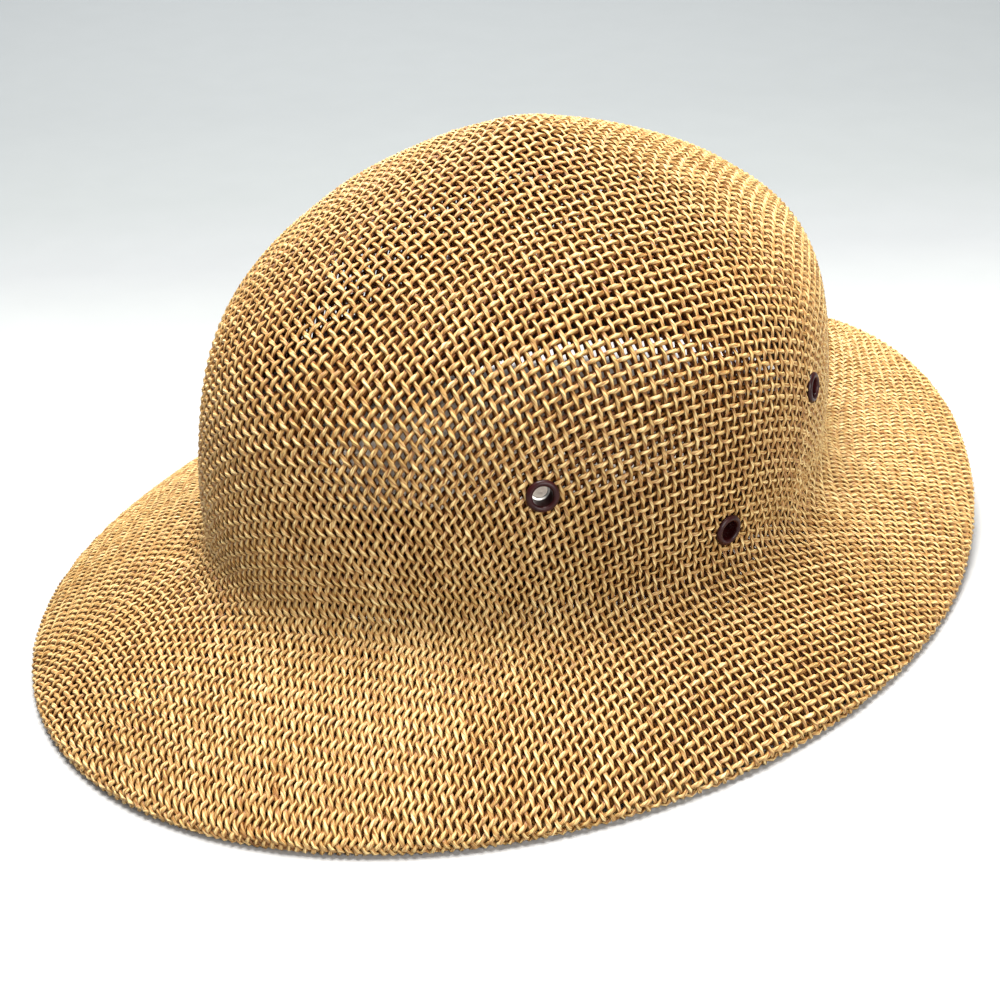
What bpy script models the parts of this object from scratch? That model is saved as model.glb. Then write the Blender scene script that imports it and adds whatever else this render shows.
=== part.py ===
"""Sun helmet of woven straw mesh, two plies thick, with a sweatband and six vent eyelets.

The helmet stands on its rim. +Z is up, -Y is the front, +X is the wearer's left side, and
the origin is on the ground under the middle of the rim. All sizes are in metres.
"""

import math

import bmesh
import bpy
import numpy as np
from mathutils import Vector
from mathutils.bvhtree import BVHTree

# Rim: the outermost edge seen from above, how far its back end stands off the ground, how
# far behind the middle it leaves the ground, as a share of half the rim's length, and the
# power of the curve that it rises on
RIM_LENGTH = 0.330
RIM_WIDTH = 0.262
RIM_BACK_RISE = 0.0235
RIM_RISE_START_SHARE = 0.38
RIM_RISE_POWER = 1.5

# Crown: the outline of its foot, and its place along the helmet
CROWN_LENGTH = 0.222
CROWN_WIDTH = 0.175
CROWN_SHIFT_BACK = 0.003
CROWN_FOOT_HEIGHT = 0.032
CROWN_HEIGHT = 0.111
CROWN_TOP_SHIFT_BACK = 0.0035

# How much the crown draws in towards its top, as a share of its width and of its length
CROWN_SIDE_LEAN_SHARE = 0.03
CROWN_END_LEAN_SHARE = 0.10

# How much flatter the crown is between its sides and its ends than an oval would be there
CROWN_CORNER_FLATTENING_SHARE = 0.056

# Crown section: angle up from the foot in degrees, and reach as a share of the foot's
# half width (sideways) and of the crown's height (upwards)
CROWN_SECTION = (
    # angle, reach
    (0.0, 1.000),
    (15.0, 1.066),
    (30.0, 1.120),
    (45.0, 1.057),
    (60.0, 0.997),
    (75.0, 0.978),
    (90.0, 1.000),
)

# Hollow curve between crown and brim, and how far the brim bulges above a straight slope
COVE_REACH = 0.009
BRIM_BULGE = 0.0025

# Straw plies: each ply's thickness, the gap between them, and the hem turned under the rim
PLY_THICKNESS = 0.0015
PLY_GAP = 0.0003
HEM_WIDTH = 0.014
INNER_EDGE_SETBACK = 0.0012

# Sweatband: height of its top and of its knee above the crown's foot, thickness, and how
# far its top leans inwards
BAND_HEIGHT = 0.030
BAND_KNEE_HEIGHT = 0.0065
BAND_THICKNESS = 0.0012
BAND_TOP_INSET = 0.0085

# Eyelets: bore, flange and washer radii, and the heights of their parts
EYELET_BORE_RADIUS = 0.0028
EYELET_FLANGE_RADIUS = 0.0046
EYELET_WASHER_RADIUS = 0.0044
EYELET_WALL = 0.0004
EYELET_FLANGE_HEIGHT = 0.0012
EYELET_WASHER_THICKNESS = 0.0005
EYELET_WASHER_GAP = 0.00045

# Section of the rolled flange: place from the bore to the flange's edge and height above
# the flange's seat, as shares of the flange's width and of its height
FLANGE_SECTION = (
    # outward, height
    (0.000, 0.45),
    (0.175, 0.85),
    (0.500, 1.00),
    (0.800, 0.80),
    (1.000, 0.35),
    (0.950, 0.00),
)

# Eyelet places: name, place behind the crown's middle as a share of half its length, and
# height above its foot as a share of its height
EYELET_PLACES = (
    # name, behind, up
    ("front", -0.532, 0.347),
    ("middle", -0.063, 0.122),
    ("back", 0.351, 0.347),
)

# Clearance between pieces that touch, and how many wall thicknesses a bore's cutter spans
SEAT_GAP = 0.0003
CUTTER_DEPTH_WALLS = 4

# Facets round the helmet and round an eyelet, and rings down the shell
SEGMENTS = 48
EYELET_SEGMENTS = 14
CROWN_RING_ANGLES = (14.0, 24.0, 34.0, 44.0, 54.0, 64.0, 73.0, 81.0, 86.5)
COVE_STEPS = 3
BRIM_STEPS = 4
HEM_STEPS = 3

# The turned edge of the outer ply wraps round the inner ply's edge
TURN_RADIUS = (3 * PLY_THICKNESS + 2 * PLY_GAP) / 2
TURN_FLAT_HALF_ANGLE = math.radians(20.0)

# Passes that settle the brim's edge on the turned edge, samples of a curve that is searched
# for a point, the ends of such a search, and the points round a flange that find its seat
EDGE_PASSES = 3
SEARCH_SAMPLES = 1001
SECTION_SEARCH_END = 80.0
SIDE_SEARCH_END = math.radians(80.0)
SEAT_POINTS = 8


def clear_scene():
    """Remove every object that the file opened with."""
    for obj in list(bpy.data.objects):
        bpy.data.objects.remove(obj, do_unlink=True)


def new_collection(name):
    """Return a new collection in the scene."""
    group = bpy.data.collections.new(name)
    bpy.context.scene.collection.children.link(group)
    return group


def new_material(name, colour, roughness, metallic=0.0):
    """Return a Principled BSDF material."""
    material = bpy.data.materials.new(name)
    material.use_nodes = True
    shader = material.node_tree.nodes["Principled BSDF"]
    shader.inputs["Base Color"].default_value = (*colour, 1.0)
    shader.inputs["Roughness"].default_value = roughness
    shader.inputs["Metallic"].default_value = metallic
    return material


def crown_reach(angle):
    """Smooth reach of the crown section at an angle in degrees, read from its table."""
    table = np.array(CROWN_SECTION)
    # The section is level at the top, so the table is mirrored past 90 degrees
    angles = np.concatenate([table[:, 0], 180.0 - table[-2::-1, 0]])
    reaches = np.concatenate([table[:, 1], table[-2::-1, 1]])
    # Cubic pieces whose slopes are the mean slopes of the neighbouring rows
    slopes = np.gradient(reaches, angles)
    index = np.clip(np.searchsorted(angles, angle, side="right") - 1, 0, len(angles) - 2)
    width = angles[index + 1] - angles[index]
    t = (angle - angles[index]) / width
    return (
        reaches[index] * (2 * t**3 - 3 * t**2 + 1)
        + slopes[index] * width * (t**3 - 2 * t**2 + t)
        + reaches[index + 1] * (3 * t**2 - 2 * t**3)
        + slopes[index + 1] * width * (t**3 - t**2)
    )


def section_angle(height):
    """Angle up the crown section, in degrees, of a height above the crown's foot."""
    angles = np.linspace(0.0, SECTION_SEARCH_END, SEARCH_SAMPLES)
    heights = CROWN_HEIGHT * crown_reach(angles) * np.sin(np.radians(angles))
    return float(np.interp(height, heights, angles))


def crown_point(turn, angle):
    """Point of the crown's outer skin, turned round from +X, at an angle up its section."""
    reach = crown_reach(angle)
    up = reach * np.sin(np.radians(angle))
    out = reach * np.cos(np.radians(angle))
    out = out * (1 - CROWN_CORNER_FLATTENING_SHARE * np.sin(2 * turn) ** 2)
    x = CROWN_WIDTH / 2 * out * (1 - CROWN_SIDE_LEAN_SHARE * up) * np.cos(turn)
    y = CROWN_LENGTH / 2 * out * (1 - CROWN_END_LEAN_SHARE * up) * np.sin(turn)
    y = y + CROWN_SHIFT_BACK + CROWN_TOP_SHIFT_BACK * up
    z = CROWN_FOOT_HEIGHT + CROWN_HEIGHT * up
    return np.stack(np.broadcast_arrays(x, y, z), axis=-1)


def rim_centre(turn):
    """Centre line of the turned edge: half the edge's thickness inside the rim's outline."""
    x = (RIM_WIDTH / 2 - TURN_RADIUS) * np.cos(turn)
    y = (RIM_LENGTH / 2 - TURN_RADIUS) * np.sin(turn)
    behind = (np.sin(turn) - RIM_RISE_START_SHARE) / (1 - RIM_RISE_START_SHARE)
    rise = RIM_BACK_RISE * np.clip(behind, 0.0, 1.0) ** RIM_RISE_POWER
    z = TURN_RADIUS * math.cos(TURN_FLAT_HALF_ANGLE) + rise
    return np.stack([x, y, z], axis=-1)


def quadratic(start, middle, end, t):
    """Point on the curve that leaves start towards middle and arrives at end."""
    return (1 - t) ** 2 * start + 2 * t * (1 - t) * middle + t**2 * end


def brim_frame(turn):
    """Outward and upward directions of the brim at its edge, and the points that shape it."""
    foot = crown_point(turn, 0.0)
    centre = rim_centre(turn)
    edge = centre
    for _ in range(EDGE_PASSES):
        run = edge - foot
        flat = run * np.array([1.0, 1.0, 0.0])
        level = flat / np.linalg.norm(flat, axis=-1, keepdims=True)
        along = run / np.linalg.norm(run, axis=-1, keepdims=True)
        lift = np.array([0.0, 0.0, 1.0]) * (along * level).sum(-1, keepdims=True)
        lift = lift - level * along[..., 2:3]
        crest = (foot + edge) / 2 + lift * 2 * BRIM_BULGE
        down = edge - crest
        down = down / np.linalg.norm(down, axis=-1, keepdims=True)
        up = np.array([0.0, 0.0, 1.0]) * (down * level).sum(-1, keepdims=True)
        up = up - level * down[..., 2:3]
        edge = centre + up * TURN_RADIUS
    return foot, crest, edge, centre, level, down, up


def skin_rings():
    """Rings of the outer skin from below the crown's pole down to the brim's edge."""
    turn = np.arange(SEGMENTS) * 2 * math.pi / SEGMENTS
    rings = [crown_point(turn, angle) for angle in reversed(CROWN_RING_ANGLES)]
    foot, crest, edge, _, _, _, _ = brim_frame(turn)
    top = crown_point(turn, section_angle(COVE_REACH))
    length = np.linalg.norm(edge - foot, axis=-1, keepdims=True)
    share = COVE_REACH / length
    bottom = quadratic(foot, crest, edge, share)
    for step in range(COVE_STEPS + 1):
        rings.append(quadratic(top, foot, bottom, step / COVE_STEPS))
    for step in range(1, BRIM_STEPS + 1):
        rings.append(quadratic(foot, crest, edge, share + (1 - share) * step / BRIM_STEPS))
    return rings


def ring_normals(rings, pole):
    """Outward unit normals of a stack of rings that closes at a pole above them."""
    grid = np.array([np.repeat(pole[None], SEGMENTS, axis=0)] + list(rings))
    down = np.gradient(grid, axis=0)
    round_ = np.roll(grid, -1, axis=1) - np.roll(grid, 1, axis=1)
    normal = np.cross(down[1:], round_[1:])
    return normal / np.linalg.norm(normal, axis=-1, keepdims=True)


def turned_edge_rings():
    """Rings of the edge that is turned under, with a level facet where it rests."""
    turn = np.arange(SEGMENTS) * 2 * math.pi / SEGMENTS
    _, _, _, centre, level, down, up = brim_frame(turn)
    slope = np.arctan2(-down[..., 2:3], (down * level).sum(-1, keepdims=True))
    rest = math.pi - slope
    half = TURN_FLAT_HALF_ANGLE
    rings = []
    for angle in ((rest - half) / 2, rest - half, rest + half):
        rings.append(centre + TURN_RADIUS * (np.cos(angle) * up + np.sin(angle) * down))
    return rings


def hem_rings(rings, normals):
    """Rings of the hem that lies under the inner ply, from the edge inwards."""
    inwards = 2 * TURN_RADIUS
    brim = np.array(rings[-BRIM_STEPS - 1:])
    under = brim - normals[-BRIM_STEPS - 1:] * inwards
    length = np.linalg.norm(np.diff(brim, axis=0), axis=-1)
    reach = np.concatenate([np.zeros((1, SEGMENTS)), np.cumsum(length[::-1], axis=0)])[::-1]
    result = []
    for step in range(HEM_STEPS + 1):
        want = HEM_WIDTH * step / HEM_STEPS
        ring = np.empty((SEGMENTS, 3))
        for k in range(SEGMENTS):
            for axis in range(3):
                ring[k, axis] = np.interp(want, reach[::-1, k], under[::-1, k, axis])
        result.append(ring)
    return result


def loft(name, pole, rings, material, group):
    """Open surface through a stack of rings, closed at the top by a fan if a pole is given."""
    points = [tuple(point) for ring in rings for point in ring]
    faces = []
    for row in range(len(rings) - 1):
        for k in range(SEGMENTS):
            nxt = (k + 1) % SEGMENTS
            a = row * SEGMENTS
            b = a + SEGMENTS
            faces.append((a + k, b + k, b + nxt, a + nxt))
    if pole is not None:
        points.append(tuple(pole))
        last = len(points) - 1
        for k in range(SEGMENTS):
            faces.append((last, k, (k + 1) % SEGMENTS))
    mesh = bpy.data.meshes.new(name)
    mesh.from_pydata(points, [], faces)
    mesh.materials.append(material)
    mesh.shade_smooth()
    obj = bpy.data.objects.new(name, mesh)
    group.objects.link(obj)
    return obj


def thicken(obj, thickness):
    """Give an open surface its thickness on the side away from its normals."""
    solidify = obj.modifiers.new("ply", "SOLIDIFY")
    solidify.thickness = thickness
    solidify.offset = -1.0
    solidify.use_even_offset = True


def side_surface(behind, up, side):
    """Point and outward normal of the crown's side at shares of its half length and height."""
    y = CROWN_SHIFT_BACK + behind * CROWN_LENGTH / 2
    angle = section_angle(up * CROWN_HEIGHT)
    turns = np.linspace(-SIDE_SEARCH_END, SIDE_SEARCH_END, SEARCH_SAMPLES)
    turn = float(np.interp(y, crown_point(turns, angle)[:, 1], turns))
    step = 1e-3
    point = crown_point(turn, angle)
    round_ = crown_point(turn + step, angle) - crown_point(turn - step, angle)
    rise = crown_point(turn, angle + 1.0) - crown_point(turn, angle - 1.0)
    normal = np.cross(round_, rise)
    normal = normal / np.linalg.norm(normal)
    mirror = np.array([side, 1.0, 1.0])
    return Vector(point * mirror), Vector(normal * mirror)


def seat_on_facets(tree, point, normal):
    """Settle an eyelet's place and direction on the facets that lie under its flange."""
    across = normal.orthogonal()
    other = normal.cross(across)
    found = []
    for k in range(SEAT_POINTS):
        angle = k * 2 * math.pi / SEAT_POINTS
        offset = math.cos(angle) * across + math.sin(angle) * other
        found.append(tree.find_nearest(point + EYELET_FLANGE_RADIUS * offset)[0])
    half, quarter = SEAT_POINTS // 2, SEAT_POINTS // 4
    diagonals = [found[k + half] - found[k] for k in range(half)]
    facing = Vector()
    for k in range(quarter):
        facing = facing + diagonals[k].cross(diagonals[k + quarter]).normalized()
    if facing.dot(normal) < 0:
        facing.negate()
    return sum(found, Vector()) / len(found), facing.normalized()


def make_eyelet(name, point, normal, material, group):
    """Turned eyelet: rounded outer flange, barrel through both plies and a washer inside."""
    barrel = EYELET_BORE_RADIUS + EYELET_WALL
    wall = 2 * PLY_THICKNESS + PLY_GAP
    washer_top = -wall - EYELET_WASHER_GAP
    washer_bottom = washer_top - EYELET_WASHER_THICKNESS
    width = EYELET_FLANGE_RADIUS - EYELET_BORE_RADIUS
    profile = [
        (EYELET_BORE_RADIUS + outward * width, SEAT_GAP + height * EYELET_FLANGE_HEIGHT)
        for outward, height in FLANGE_SECTION
    ]
    profile += [
        (barrel, SEAT_GAP),
        (barrel, washer_top),
        (EYELET_WASHER_RADIUS, washer_top),
        (EYELET_WASHER_RADIUS, washer_bottom),
        (EYELET_BORE_RADIUS, washer_bottom),
    ]
    mesh = bpy.data.meshes.new(name)
    count = len(profile)
    edges = [(k, (k + 1) % count) for k in range(count)]
    mesh.from_pydata([(radius, 0.0, height) for radius, height in profile], edges, [])
    mesh.materials.append(material)
    obj = bpy.data.objects.new(name, mesh)
    screw = obj.modifiers.new("turn", "SCREW")
    screw.steps = EYELET_SEGMENTS
    screw.render_steps = EYELET_SEGMENTS
    screw.use_merge_vertices = True
    screw.merge_threshold = 0.00001
    screw.use_smooth_shade = True
    obj.location = point
    obj.rotation_mode = "QUATERNION"
    obj.rotation_quaternion = normal.to_track_quat("Z", "Y")
    group.objects.link(obj)
    return obj


def make_bore_cutter(name, point, normal, group):
    """Round cutter that clears an eyelet's barrel through both plies."""
    radius = EYELET_BORE_RADIUS + EYELET_WALL + SEAT_GAP
    depth = CUTTER_DEPTH_WALLS * (2 * PLY_THICKNESS + PLY_GAP)
    mesh = bpy.data.meshes.new(name)
    builder = bmesh.new()
    bmesh.ops.create_cone(
        builder,
        cap_ends=True,
        segments=EYELET_SEGMENTS,
        radius1=radius,
        radius2=radius,
        depth=depth,
    )
    builder.to_mesh(mesh)
    builder.free()
    obj = bpy.data.objects.new(name, mesh)
    obj.location = point
    obj.rotation_mode = "QUATERNION"
    obj.rotation_quaternion = normal.to_track_quat("Z", "Y")
    obj.hide_render = True
    obj.display_type = "WIRE"
    group.objects.link(obj)
    return obj


def cut_bore(obj, cutter):
    """Open one eyelet's hole in a ply."""
    cut = obj.modifiers.new(cutter.name, "BOOLEAN")
    cut.operation = "DIFFERENCE"
    cut.solver = "EXACT"
    cut.object = cutter


def band_rings(rings, normals):
    """Rings of the sweatband's outer face, from its top down to the foot that it is sewn at."""
    seat = 2 * PLY_THICKNESS + PLY_GAP + SEAT_GAP
    past_washers = seat + EYELET_WASHER_GAP + EYELET_WASHER_THICKNESS
    turn = np.arange(SEGMENTS) * 2 * math.pi / SEGMENTS
    places = ((BAND_HEIGHT, seat + BAND_TOP_INSET), (BAND_KNEE_HEIGHT, past_washers + SEAT_GAP))
    result = []
    for height, inset in places:
        skin = crown_point(turn, section_angle(height))
        flat = (skin - np.array([0.0, CROWN_SHIFT_BACK, 0.0])) * np.array([1.0, 1.0, 0.0])
        outward = flat / np.linalg.norm(flat, axis=-1, keepdims=True)
        result.append(skin - outward * inset)
    seam = -(BRIM_STEPS + COVE_STEPS)
    result.append(rings[seam] - normals[seam] * seat)
    return result


def main():
    """Build the helmet's pieces."""
    clear_scene()
    helmet = new_collection("pith_helmet")
    cutters = new_collection("cutters")

    straw = new_material("straw", (0.70, 0.47, 0.22), 0.60)
    lining_straw = new_material("lining_straw", (0.42, 0.25, 0.14), 0.70)
    band_cloth = new_material("band_cloth", (0.020, 0.018, 0.018), 0.55)
    enamel = new_material("enamel", (0.045, 0.008, 0.009), 0.30, 0.2)

    rings = skin_rings()
    pole = crown_point(0.0, 90.0)
    normals = ring_normals(rings, pole)

    # Outer ply, whose edge turns under the rim and ends in the hem
    hem = hem_rings(rings, normals)
    outer_rings = rings + turned_edge_rings() + hem
    outer = loft("outer_mesh", pole, outer_rings, straw, helmet)
    thicken(outer, PLY_THICKNESS)

    # Inner ply, which lies inside the outer one and ends just inside the turned edge
    inset = PLY_THICKNESS + PLY_GAP
    inner_rings = [ring - normal * inset for ring, normal in zip(rings, normals)]
    back = inner_rings[-2] - inner_rings[-1]
    back = back / np.linalg.norm(back, axis=-1, keepdims=True)
    inner_rings[-1] = inner_rings[-1] + back * INNER_EDGE_SETBACK
    inner_pole = pole - np.array([0.0, 0.0, inset])
    inner = loft("inner_mesh", inner_pole, inner_rings, lining_straw, helmet)
    thicken(inner, PLY_THICKNESS)

    # Sweatband, seated at its foot on the inner ply
    band = loft("sweatband", None, band_rings(rings, normals), band_cloth, helmet)
    thicken(band, BAND_THICKNESS)

    # Eyelets, three on each side, through both plies
    skin = outer.data
    tree = BVHTree.FromPolygons(
        [vertex.co for vertex in skin.vertices],
        [tuple(face.vertices) for face in skin.polygons],
    )
    for side_name, side in (("left", 1.0), ("right", -1.0)):
        for place, behind, up in EYELET_PLACES:
            name = f"eyelet_{side_name}_{place}"
            point, normal = seat_on_facets(tree, *side_surface(behind, up, side))
            make_eyelet(name, point, normal, enamel, helmet)
            cutter = make_bore_cutter(f"bore_{side_name}_{place}", point, normal, cutters)
            cut_bore(outer, cutter)
            cut_bore(inner, cutter)


main()
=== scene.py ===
import math

import bpy
import numpy as np
from mathutils import Matrix, Vector


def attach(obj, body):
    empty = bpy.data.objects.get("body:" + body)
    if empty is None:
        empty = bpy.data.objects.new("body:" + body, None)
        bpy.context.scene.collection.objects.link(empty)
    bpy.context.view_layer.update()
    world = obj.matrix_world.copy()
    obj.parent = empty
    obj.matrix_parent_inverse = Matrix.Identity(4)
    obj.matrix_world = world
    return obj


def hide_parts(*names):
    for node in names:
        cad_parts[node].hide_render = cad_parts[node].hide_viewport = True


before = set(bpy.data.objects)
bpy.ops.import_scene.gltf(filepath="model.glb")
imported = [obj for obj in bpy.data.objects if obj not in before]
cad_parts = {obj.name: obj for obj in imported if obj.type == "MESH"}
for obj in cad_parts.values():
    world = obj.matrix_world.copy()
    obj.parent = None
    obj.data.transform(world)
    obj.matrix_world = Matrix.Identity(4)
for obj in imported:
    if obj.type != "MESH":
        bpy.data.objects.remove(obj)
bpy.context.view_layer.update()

# Outer straw ply. The real shell is an open plain weave of twisted straw cords, blocked wet
# over a wooden form into a domed crown and a sloping brim. Its edge is turned under the rim
# round the inner ply and lies under the brim as a narrow hem.

RIM_LENGTH, RIM_WIDTH = 0.330, 0.262
RIM_BACK_RISE, RIM_RISE_START, RIM_RISE_POWER = 0.0235, 0.38, 1.5
CROWN_LENGTH, CROWN_WIDTH = 0.222, 0.175
CROWN_FOOT, CROWN_HEIGHT = 0.032, 0.111
CROWN_SHIFT_BACK, CROWN_TOP_SHIFT_BACK = 0.003, 0.0035
CROWN_SIDE_LEAN, CROWN_END_LEAN, CROWN_CORNER_FLATTENING = 0.03, 0.10, 0.056
CROWN_SECTION = (
    # angle up the section in degrees, reach
    (0.0, 1.000), (15.0, 1.066), (30.0, 1.120), (45.0, 1.057),
    (60.0, 0.997), (75.0, 0.978), (90.0, 1.000),
)
COVE_REACH, BRIM_BULGE = 0.009, 0.0025
PLY_THICKNESS, PLY_GAP, HEM_WIDTH = 0.0015, 0.0003, 0.014
TURN_RADIUS = (3 * PLY_THICKNESS + 2 * PLY_GAP) / 2
TURN_FLAT_HALF_ANGLE = math.radians(20.0)
SKY = np.array([0.0, 0.0, 1.0])


def crown_reach(angle):
    """Reach of the crown's section: cubic pieces through its table, level at the top."""
    table = np.array(CROWN_SECTION)
    angles = np.concatenate([table[:, 0], 180.0 - table[-2::-1, 0]])
    reaches = np.concatenate([table[:, 1], table[-2::-1, 1]])
    slopes = np.gradient(reaches, angles)
    row = np.clip(np.searchsorted(angles, angle, side="right") - 1, 0, len(angles) - 2)
    width = angles[row + 1] - angles[row]
    t = (angle - angles[row]) / width
    return (
        reaches[row] * (2 * t**3 - 3 * t**2 + 1)
        + slopes[row] * width * (t**3 - 2 * t**2 + t)
        + reaches[row + 1] * (3 * t**2 - 2 * t**3)
        + slopes[row + 1] * width * (t**3 - t**2)
    )


def crown_point(turn, angle):
    """Crown's skin: an oval drawn in, flattened at its corners and shifted as it rises."""
    up = crown_reach(angle) * np.sin(np.radians(angle))
    out = crown_reach(angle) * np.cos(np.radians(angle))
    out = out * (1 - CROWN_CORNER_FLATTENING * np.sin(2 * turn) ** 2)
    x = CROWN_WIDTH / 2 * out * (1 - CROWN_SIDE_LEAN * up) * np.cos(turn)
    y = CROWN_LENGTH / 2 * out * (1 - CROWN_END_LEAN * up) * np.sin(turn)
    y = y + CROWN_SHIFT_BACK + CROWN_TOP_SHIFT_BACK * up
    z = CROWN_FOOT + CROWN_HEIGHT * up
    return np.stack(np.broadcast_arrays(x, y, z), axis=-1)


def brim_lines(turn):
    """Foot, crest and edge of the brim's curve, and the edge's centre, down and up ways."""
    foot = crown_point(turn, np.zeros_like(turn))
    behind = (np.sin(turn) - RIM_RISE_START) / (1 - RIM_RISE_START)
    rise = RIM_BACK_RISE * np.clip(behind, 0.0, 1.0) ** RIM_RISE_POWER
    centre = np.stack([
        (RIM_WIDTH / 2 - TURN_RADIUS) * np.cos(turn),
        (RIM_LENGTH / 2 - TURN_RADIUS) * np.sin(turn),
        TURN_RADIUS * math.cos(TURN_FLAT_HALF_ANGLE) + rise,
    ], axis=-1)
    edge = centre
    # Crest and edge lean on each other, and three rounds settle them
    for _ in range(3):
        run = edge - foot
        level = run * np.array([1.0, 1.0, 0.0])
        level = level / np.linalg.norm(level, axis=-1, keepdims=True)
        along = run / np.linalg.norm(run, axis=-1, keepdims=True)
        lift = SKY * (along * level).sum(-1, keepdims=True) - level * along[..., 2:3]
        crest = (foot + edge) / 2 + lift * 2 * BRIM_BULGE
        down = edge - crest
        down = down / np.linalg.norm(down, axis=-1, keepdims=True)
        up = SKY * (down * level).sum(-1, keepdims=True) - level * down[..., 2:3]
        edge = centre + up * TURN_RADIUS
    return foot, crest, edge, centre, down, up


def quadratic(start, middle, end, t):
    """Curve that leaves start towards middle and arrives at end."""
    return (1 - t) ** 2 * start + 2 * t * (1 - t) * middle + t**2 * end


# Way down the skin from the pole: the section's own length, then the cove, brim, turn and hem.
# The mean half-span is a little under the mean of both axes, because the corners are flattened.
MEAN_HALF_SPAN = 0.24 * (CROWN_WIDTH + CROWN_LENGTH)
COVE_LENGTH, BRIM_LENGTH = 0.0155, 0.044
rising = np.linspace(0.0, 80.0, 801)
COVE_ANGLE = float(np.interp(
    COVE_REACH, CROWN_HEIGHT * crown_reach(rising) * np.sin(np.radians(rising)), rising
))
falling = np.linspace(90.0, COVE_ANGLE, 3001)
section_out = MEAN_HALF_SPAN * crown_reach(falling) * np.cos(np.radians(falling))
section_up = CROWN_HEIGHT * crown_reach(falling) * np.sin(np.radians(falling))
section_way = np.concatenate([
    [0.0], np.cumsum(np.hypot(np.diff(section_out), np.diff(section_up)))
])
CROWN_WAY = float(section_way[-1])
COVE_WAY = CROWN_WAY + COVE_LENGTH
BRIM_WAY = COVE_WAY + BRIM_LENGTH
TURN_WAY = BRIM_WAY + math.pi * TURN_RADIUS
HEM_WAY = TURN_WAY + HEM_WIDTH


def skin(u, v):
    """Outer skin's point at a flat place (u, v), whose radius is the way down from the pole."""
    turn, way = np.arctan2(v, u), np.hypot(u, v)
    foot, crest, edge, centre, down, up = brim_lines(turn)
    crown = crown_point(turn, np.interp(way, section_way, falling))
    share = COVE_REACH / np.linalg.norm(edge - foot, axis=-1, keepdims=True)
    top = crown_point(turn, np.full_like(turn, COVE_ANGLE))
    t = np.clip((way - CROWN_WAY) / (COVE_WAY - CROWN_WAY), 0, 1)[..., None]
    cove = quadratic(top, foot, quadratic(foot, crest, edge, share), t)
    t = np.clip((way - COVE_WAY) / (BRIM_WAY - COVE_WAY), 0, 1)[..., None]
    brim = quadratic(foot, crest, edge, share + (1 - share) * t)
    past = (way - BRIM_WAY)[..., None]
    bend = np.clip(past / TURN_RADIUS, 0, math.pi)
    turned = centre + TURN_RADIUS * (np.cos(bend) * up + np.sin(bend) * down)
    t = np.clip(1 - np.clip(past - math.pi * TURN_RADIUS, 0, None) / (BRIM_WAY - COVE_WAY), 0, 1)
    hem = quadratic(foot, crest, edge, share + (1 - share) * t) - 2 * TURN_RADIUS * up
    way = way[..., None]
    point = np.where(way < CROWN_WAY, crown, np.where(way < COVE_WAY, cove, brim))
    return np.where(way < BRIM_WAY, point, np.where(way < TURN_WAY, turned, hem))


def skin_normal(u, v):
    """Outward unit normal: the cross product of small steps along the two flat axes."""
    step = 1e-4
    across = skin(u + step, v) - skin(u - step, v)
    along = skin(u, v + step) - skin(u, v - step)
    normal = np.cross(across, along)
    return normal / np.linalg.norm(normal, axis=-1, keepdims=True)


# How blocking stretched and sheared the flat cloth: counts of cords across as odd powers of
# the flat place, in units of CLOTH_UNIT
CLOTH_UNIT = 0.15
CLOTH_STRETCH = np.array((
    # power of u, power of v, endwise cords, sidewise cords
    (1, 0, -13.05, 40.12),
    (0, 1, -50.94, -6.76),
    (3, 0, 3.58, 3.95),
    (2, 1, 5.40, -1.33),
    (1, 2, -2.78, -2.98),
    (0, 3, -1.80, 2.44),
    (5, 0, -0.26, -0.70),
    (4, 1, 0.14, 1.09),
    (3, 2, 1.45, 1.27),
    (2, 3, -0.78, -1.04),
    (1, 4, -0.12, -1.27),
    (0, 5, -0.59, -0.50),
))


def cord_counts(u, v):
    """Counts of both sets of cords at a flat place, and their slopes, from the table."""
    u, v = u / CLOTH_UNIT, v / CLOTH_UNIT
    counts, slopes = 0, 0
    for i, j, endwise, sidewise in CLOTH_STRETCH:
        weight = np.array([endwise, sidewise])
        counts = counts + weight * (u**i * v**j)[..., None]
        du = i * u ** max(i - 1, 0) * v**j
        dv = u**i * j * v ** max(j - 1, 0)
        slopes = slopes + weight[:, None] * np.stack([du, dv], axis=-1)[..., None, :] / CLOTH_UNIT
    return counts, slopes


NEWTON_STEPS, LONGEST_STEP, FARTHEST_PLACE, COUNT_MATCH = 14, 0.02, 0.3, 1e-4


def flat_places(counts):
    """Flat places whose cord counts are these, by Newton's steps, and whether each was met."""
    at_pole = cord_counts(np.zeros(1), np.zeros(1))[1][0]
    place = counts @ np.linalg.inv(at_pole).T
    for _ in range(NEWTON_STEPS):
        found, slopes = cord_counts(place[..., 0], place[..., 1])
        step = np.linalg.solve(slopes, (counts - found)[..., None])[..., 0]
        length = np.linalg.norm(step, axis=-1, keepdims=True)
        place = place + step * np.minimum(1.0, LONGEST_STEP / np.maximum(length, 1e-9))
        place = np.clip(place, -FARTHEST_PLACE, FARTHEST_PLACE)
    found, _ = cord_counts(place[..., 0], place[..., 1])
    return place, np.abs(found - counts).max(-1) < COUNT_MATCH


# Eyelet seats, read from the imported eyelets, because cords stop at their barrels
EYELET_NAMES = [
    f"eyelet_{side}_{place}" for side in ("left", "right") for place in ("front", "middle", "back")
]
EYELET_TOP = 0.0015


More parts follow.
